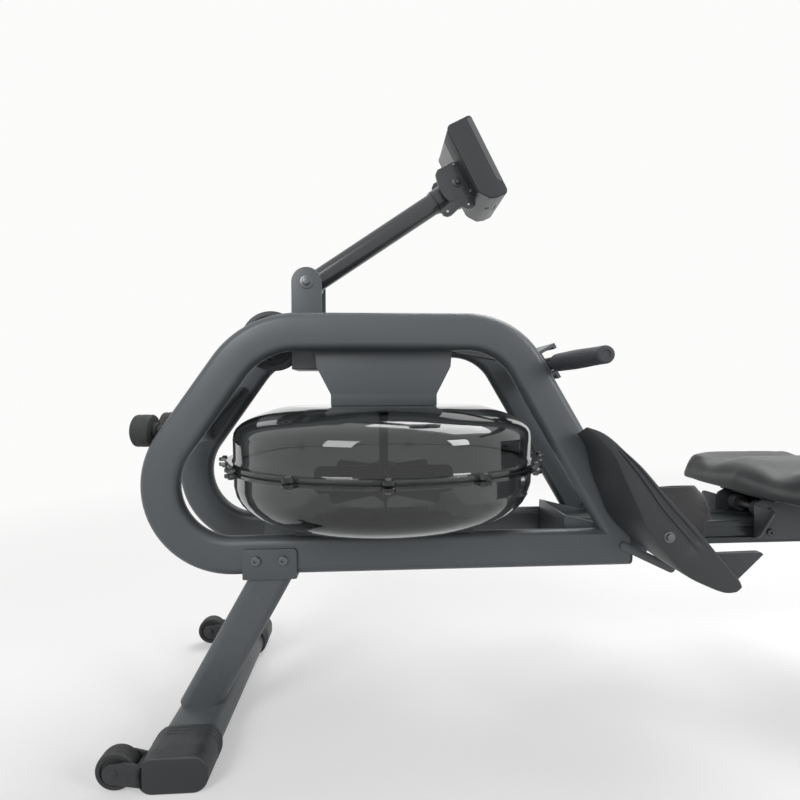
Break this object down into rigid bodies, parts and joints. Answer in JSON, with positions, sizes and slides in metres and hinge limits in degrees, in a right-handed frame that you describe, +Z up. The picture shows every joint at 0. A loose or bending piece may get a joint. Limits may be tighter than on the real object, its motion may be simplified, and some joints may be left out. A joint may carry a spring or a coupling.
{
  "type": "water rowing machine",
  "caption": "Rowing machine with a round water tank between two bent tube loops, a strap-driven impeller, a rolling seat on a long rail and a console on an arm.",
  "frame": {"origin": "on the floor, under the middle of the machine's length and width", "axes": "+X runs from the tank end to the seat end along the rail, +Y to the rower's right seen from the seat facing the tank, +Z up"},
  "size_m": [2.0528, 0.524, 0.9843],
  "materials": {
    "frame_paint": "satin dark grey powder coat",
    "black_plastic": "fine-grained black moulding",
    "black_paint": "satin black powder coat",
    "rubber": "matt black rubber",
    "tank_shell": "clear smoke-grey moulded plastic, glossy",
    "bright_steel": "satin plated steel",
    "rail_metal": "satin black anodised",
    "webbing": "black woven webbing",
    "seat_padding": "black moulded seat skin",
    "screen": "glossy dark window"
  },
  "bodies": {
    "machine": {"left_loop": "frame_paint", "right_loop": "frame_paint", "front_cross_plate": "frame_paint", "tank_hanger": "frame_paint", "front_leg_frame": "frame_paint", "handle_rest": "frame_paint", "mast_bracket": "frame_paint", "rail_mount": "frame_paint", "rear_leg_frame": "frame_paint", "left_pedal_strut": "frame_paint", "right_pedal_strut": "frame_paint", "left_loop_cap": "black_plastic", "right_loop_cap": "black_plastic", "front_tank_bearer": "black_plastic", "rear_tank_bearer": "black_plastic", "left_front_cap": "black_plastic", "right_front_cap": "black_plastic", "rail_end_cap": "black_plastic", "left_rear_foot": "black_plastic", "right_rear_foot": "black_plastic", "left_pedal": "black_plastic", "right_pedal": "black_plastic", "left_standing_foot": "rubber", "right_standing_foot": "rubber", "tank_seal": "rubber", "upper_tank_shell": "tank_shell", "lower_tank_shell": "tank_shell", "idler_axle": "bright_steel", "mast_pivot_bolt": "bright_steel", "pedal_bar": "bright_steel", "seat_rail": "rail_metal", "drive_strap": "webbing", "left_foot_band": "webbing", "right_foot_band": "webbing"},
    "seat": {"seat_cushion": "seat_padding", "seat_carriage": "black_paint"},
    "front_left_wheel": {"front_left_roller": "rubber"},
    "front_right_wheel": {"front_right_roller": "rubber"},
    "rear_left_wheel": {"rear_left_roller": "rubber"},
    "rear_right_wheel": {"rear_right_roller": "rubber"},
    "handle": {"handle_bar": "bright_steel", "left_grip": "rubber", "right_grip": "rubber", "pull_strap": "webbing"},
    "idler": {"idler_wheel": "black_plastic"},
    "spool": {"strap_spool": "black_plastic"},
    "paddle": {"impeller": "black_plastic"},
    "arm": {"console_arm": "black_paint", "console_pivot_bolt": "black_paint"},
    "console": {"console_back": "black_plastic", "console_front": "black_plastic", "console_lens": "screen"},
    "left_button": {"left_console_button": "rubber"},
    "middle_button": {"middle_console_button": "rubber"},
    "right_button": {"right_console_button": "rubber"},
    "left_heel": {"left_heel_rest": "black_plastic"},
    "right_heel": {"right_heel_rest": "black_plastic"},
    "left_transport": {"left_transport_wheel": "rubber"},
    "right_transport": {"right_transport_wheel": "rubber"},
    "plug": {"filler_plug": "black_plastic"}
  },
  "joints": [
    {"name": "seat_slide", "type": "slide", "parent": "machine", "child": "seat", "axis": [1, 0, 0], "range_m": [-0.13, 0.74]},
    {"name": "front_left_roll", "type": "hinge", "parent": "seat", "child": "front_left_wheel", "pos_m": [0.0396, 0, 0.3173], "axis": [0, 1, 0], "range_deg": [-500, 2830]},
    {"name": "front_right_roll", "type": "hinge", "parent": "seat", "child": "front_right_wheel", "pos_m": [0.0396, 0, 0.3173], "axis": [0, 1, 0], "range_deg": [-500, 2830]},
    {"name": "rear_left_roll", "type": "hinge", "parent": "seat", "child": "rear_left_wheel", "pos_m": [0.2096, 0, 0.3173], "axis": [0, 1, 0], "range_deg": [-500, 2830]},
    {"name": "rear_right_roll", "type": "hinge", "parent": "seat", "child": "rear_right_wheel", "pos_m": [0.2096, 0, 0.3173], "axis": [0, 1, 0], "range_deg": [-500, 2830]},
    {"name": "handle_pull", "type": "slide", "parent": "machine", "child": "handle", "axis": [1, 0, 0], "range_m": [0, 1.15], "stiffness_N_per_m": 12, "springref_m": -1.5, "deforming": ["pull_strap"]},
    {"name": "idler_spin", "type": "hinge", "parent": "machine", "child": "idler", "pos_m": [-0.8184, 0, 0.6165], "axis": [0, 1, 0], "range_deg": [-5, 1900]},
    {"name": "spool_spin", "type": "hinge", "parent": "machine", "child": "spool", "pos_m": [-0.6284, 0, 0.585], "axis": [0, 0, 1], "range_deg": [-5, 1850]},
    {"name": "impeller_spin", "type": "hinge", "parent": "machine", "child": "paddle", "pos_m": [-0.6284, 0, 0.415], "axis": [0, 0, 1], "continuous": true},
    {"name": "arm_fold", "type": "hinge", "parent": "machine", "child": "arm", "pos_m": [-0.7557, 0, 0.712], "axis": [0, 1, 0], "range_deg": [-40, 20]},
    {"name": "console_tilt", "type": "hinge", "parent": "arm", "child": "console", "pos_m": [-0.5017, 0, 0.8827], "axis": [0, 1, 0], "range_deg": [-25, 25]},
    {"name": "left_transport_roll", "type": "hinge", "parent": "machine", "child": "left_transport", "pos_m": [-0.9889, 0, 0.03], "axis": [0, 1, 0], "continuous": true},
    {"name": "right_transport_roll", "type": "hinge", "parent": "machine", "child": "right_transport", "pos_m": [-0.9889, 0, 0.03], "axis": [0, 1, 0], "continuous": true},
    {"name": "left_heel_slide", "type": "slide", "parent": "machine", "child": "left_heel", "axis": [0.6756, 0, -0.7373], "range_m": [-0.022, 0.012]},
    {"name": "right_heel_slide", "type": "slide", "parent": "machine", "child": "right_heel", "axis": [0.6756, 0, -0.7373], "range_m": [-0.022, 0.012]},
    {"name": "plug_lift", "type": "slide", "parent": "machine", "child": "plug", "axis": [0, 0, 1], "range_m": [0, 0.03]},
    {"name": "left_button_press", "type": "slide", "parent": "console", "child": "left_button", "axis": [-0.891, 0, -0.454], "range_m": [0, 0.0012], "stiffness_N_per_m": 600, "springref_m": -0.002},
    {"name": "middle_button_press", "type": "slide", "parent": "console", "child": "middle_button", "axis": [-0.891, 0, -0.454], "range_m": [0, 0.0012], "stiffness_N_per_m": 600, "springref_m": -0.002},
    {"name": "right_button_press", "type": "slide", "parent": "console", "child": "right_button", "axis": [-0.891, 0, -0.454], "range_m": [0, 0.0012], "stiffness_N_per_m": 600, "springref_m": -0.002}
  ],
  "couplings": [
    {"joint": "front_left_roll", "follows": "seat_slide", "rad_per_m": 66.667},
    {"joint": "front_right_roll", "follows": "seat_slide", "rad_per_m": 66.667},
    {"joint": "rear_left_roll", "follows": "seat_slide", "rad_per_m": 66.667},
    {"joint": "rear_right_roll", "follows": "seat_slide", "rad_per_m": 66.667},
    {"joint": "idler_spin", "follows": "handle_pull", "rad_per_m": 27.548},
    {"joint": "spool_spin", "follows": "handle_pull", "rad_per_m": 26.81}
  ]
}
